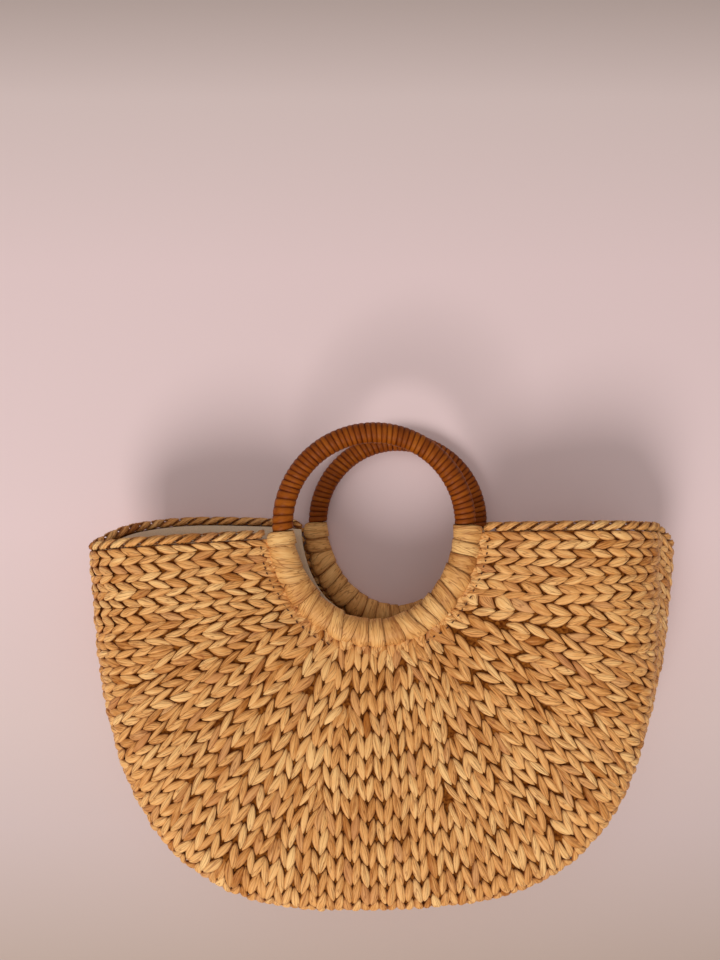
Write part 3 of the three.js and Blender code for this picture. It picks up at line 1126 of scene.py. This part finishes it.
# %% Dark thread
thread_brown, tree, shader = make_material("dark thread")
shader.inputs["Base Color"].default_value = (0.085, 0.022, 0.003, 1)
shader.inputs["Roughness"].default_value = 0.8
bare_at_bottom = 0.13
place = np.arange(0.006, girth[0] - 0.005, 0.0046)
place = place + rng.normal(0, 0.0006, len(place))
place = place[np.abs(place / girth[0] - 0.5) > bare_at_bottom]
dots = lay_round_ring(strand, place, 0.0042, 0.0024, 0.0006, 0.0004, 0.0018, math.pi / 2, rng)
thread = strands_to_object("thread", strand, dots, own_looks(rng, len(place)), thread_brown)

# %% [markdown]
# ## The mouth's rope
# The mouth's edge is a rope of twisted strands. A twisted tube would look like a cable, because
# the real strands come and go. So short strands are wound round the rope's middle line, each
# starting on the other side from the one before.

# %% Three-ply rope along the mouth
rope_lay = 0.0350
plies = 3
rope_sinks = 0.0003
rope_end = 0.004
ply_reach = 0.54
ply_out, ply_half_angle, ply_half_thick = 0.0021, 1.25, 0.0021
ply = strand_template(around=8, along=9)


def rope_path(line):
    """The rope's middle line, on top of the wall's edge along the first or last row"""
    middle = grid[line] - normals[line] * wall / 2
    along = np.gradient(middle, axis=0)
    rise = np.cross(normals[line], along)
    rise /= np.linalg.norm(rise, axis=1, keepdims=True)
    rise *= np.sign(rise[:, 1:2])
    path = middle + rise * (rope_diameter / 2 + rope_standoff - rope_sinks)
    return path, running_length(path, 0), normals[line], rise


for name, line, hand, seed in (("mouth_rope_left", 0, -1, 51), ("mouth_rope_right", -1, 1, 52)):
    path, length, sideways, rise = rope_path(line)
    rng = np.random.default_rng(seed)
    middles = np.arange(rope_end, length[-1] - rope_end, rope_lay / plies / 2)
    facing = np.arange(len(middles)) % 2 * np.pi
    reach = ply_reach * rope_lay * rng.normal(1, 0.06, len(middles))
    at = middles[:, None] + ply["along"] * reach[:, None]
    at = np.clip(at, 0, length[-1])
    turn = facing[:, None] + hand * 2 * np.pi * (at - middles[:, None]) / rope_lay
    turn = turn + hand * ply["across"] * ply_half_angle
    out = ply_out + ply["rise"] * ply_half_thick
    centre, aside, up = [
        np.stack([np.interp(at, length, field[:, c]) for c in range(3)], -1)
        for field in (path, sideways, rise)
    ]
    points = (
        centre + aside * (out * np.cos(turn))[..., None] + up * (out * np.sin(turn))[..., None]
    )
    points[..., 2] = np.maximum(points[..., 2], 0.0)
    rope = strands_to_object(
        name.replace("mouth_rope", "rim"), ply, points, own_looks(rng, len(middles)), plait_straw
    )
    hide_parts(name)

# %% [markdown]
# ## The lining
# A thin grey-beige cotton bag hangs inside the plait, sewn to the mouth's edge. It is one sheet
# that follows the inside of the basket, loose by a millimetre or two. A cloth simulation would
# move it hardly at all, because its whole edge is sewn down, so its few low folds are a wave.

# %% Cotton
cotton, tree, shader = make_material("lining cloth")
place = add_node(tree, "ShaderNodeTexCoord").outputs["Object"]
slub = add_node(tree, "ShaderNodeTexNoise", {"Vector": place, "Scale": 900.0, "Detail": 3.0})
cotton_shades = ((0.0, (0.60, 0.42, 0.27)), (1.0, (0.84, 0.63, 0.44)))
tree.links.new(colour_ramp(tree, slub.outputs["Fac"], cotton_shades), shader.inputs["Base Color"])
shader.inputs["Roughness"].default_value = 0.9
crease = add_node(tree, "ShaderNodeTexNoise", {"Vector": place, "Scale": 26.0, "Detail": 2.0})
add_bump(tree, shader, crease.outputs["Fac"], 0.5, 0.004)
print("made the material:", cotton.name)

# %% Cloth inside
lining_gap = 0.0012
lining_past_front, lining_past_back = 0.0158, 0.003
lining_sink = (wrap_depth - wall) / 2 + 0.0012
past_points = 6
fold_height = 0.0008
cloth_thickness = 0.0006


def way_past(inner, last, before):
    """Unit directions in which the sheet's lines run on past an end"""
    way = inner[:, last] - inner[:, before]
    if last == -1:
        way[:, 2] = 0
    return (way / np.linalg.norm(way, axis=1, keepdims=True))[:, None]


def lining_points():
    """The sheet's points, from beside the front ring round the inside to the back ring"""
    inner = grid - normals * (wall + lining_gap)
    steps = np.linspace(1, 0, past_points, endpoint=False)[None, :, None]
    past_front = inner[:, :1] + way_past(inner, 0, 3) * steps * lining_past_front
    past_back = inner[:, -1:] + way_past(inner, -1, -4) * steps[:, ::-1] * lining_past_back
    sheet = np.concatenate([past_front, inner, past_back], 1)
    reach = np.concatenate(
        [np.zeros(past_points), np.linspace(0, 1, inner.shape[1]), np.ones(past_points)]
    )
    sunk = lining_sink * (1 - ease(reach, 0, 0.06))
    raised = lining_sink * ease(reach, 0.94, 1.0)
    sheet[..., 2] += (raised - sunk)[None]
    fold = np.sin(34 * shares + 3 * np.sin(9 * shares))[:, None]
    looseness = fold_height * (1 + fold) * np.sin(np.pi * ease(reach, 0.08, 0.92)) ** 2
    before, after = [normals[:, :1]] * past_points, [normals[:, -1:]] * past_points
    inward = -np.concatenate(before + [normals] + after, 1)
    return sheet + inward * looseness[..., None]


lining = grid_object("lining_cloth", lining_points()[::2, ::2], cotton)
thicken = lining.modifiers.new("cloth thickness", "SOLIDIFY")
thicken.thickness = cloth_thickness
thicken.offset = 0
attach(lining, "root")
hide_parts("lining")
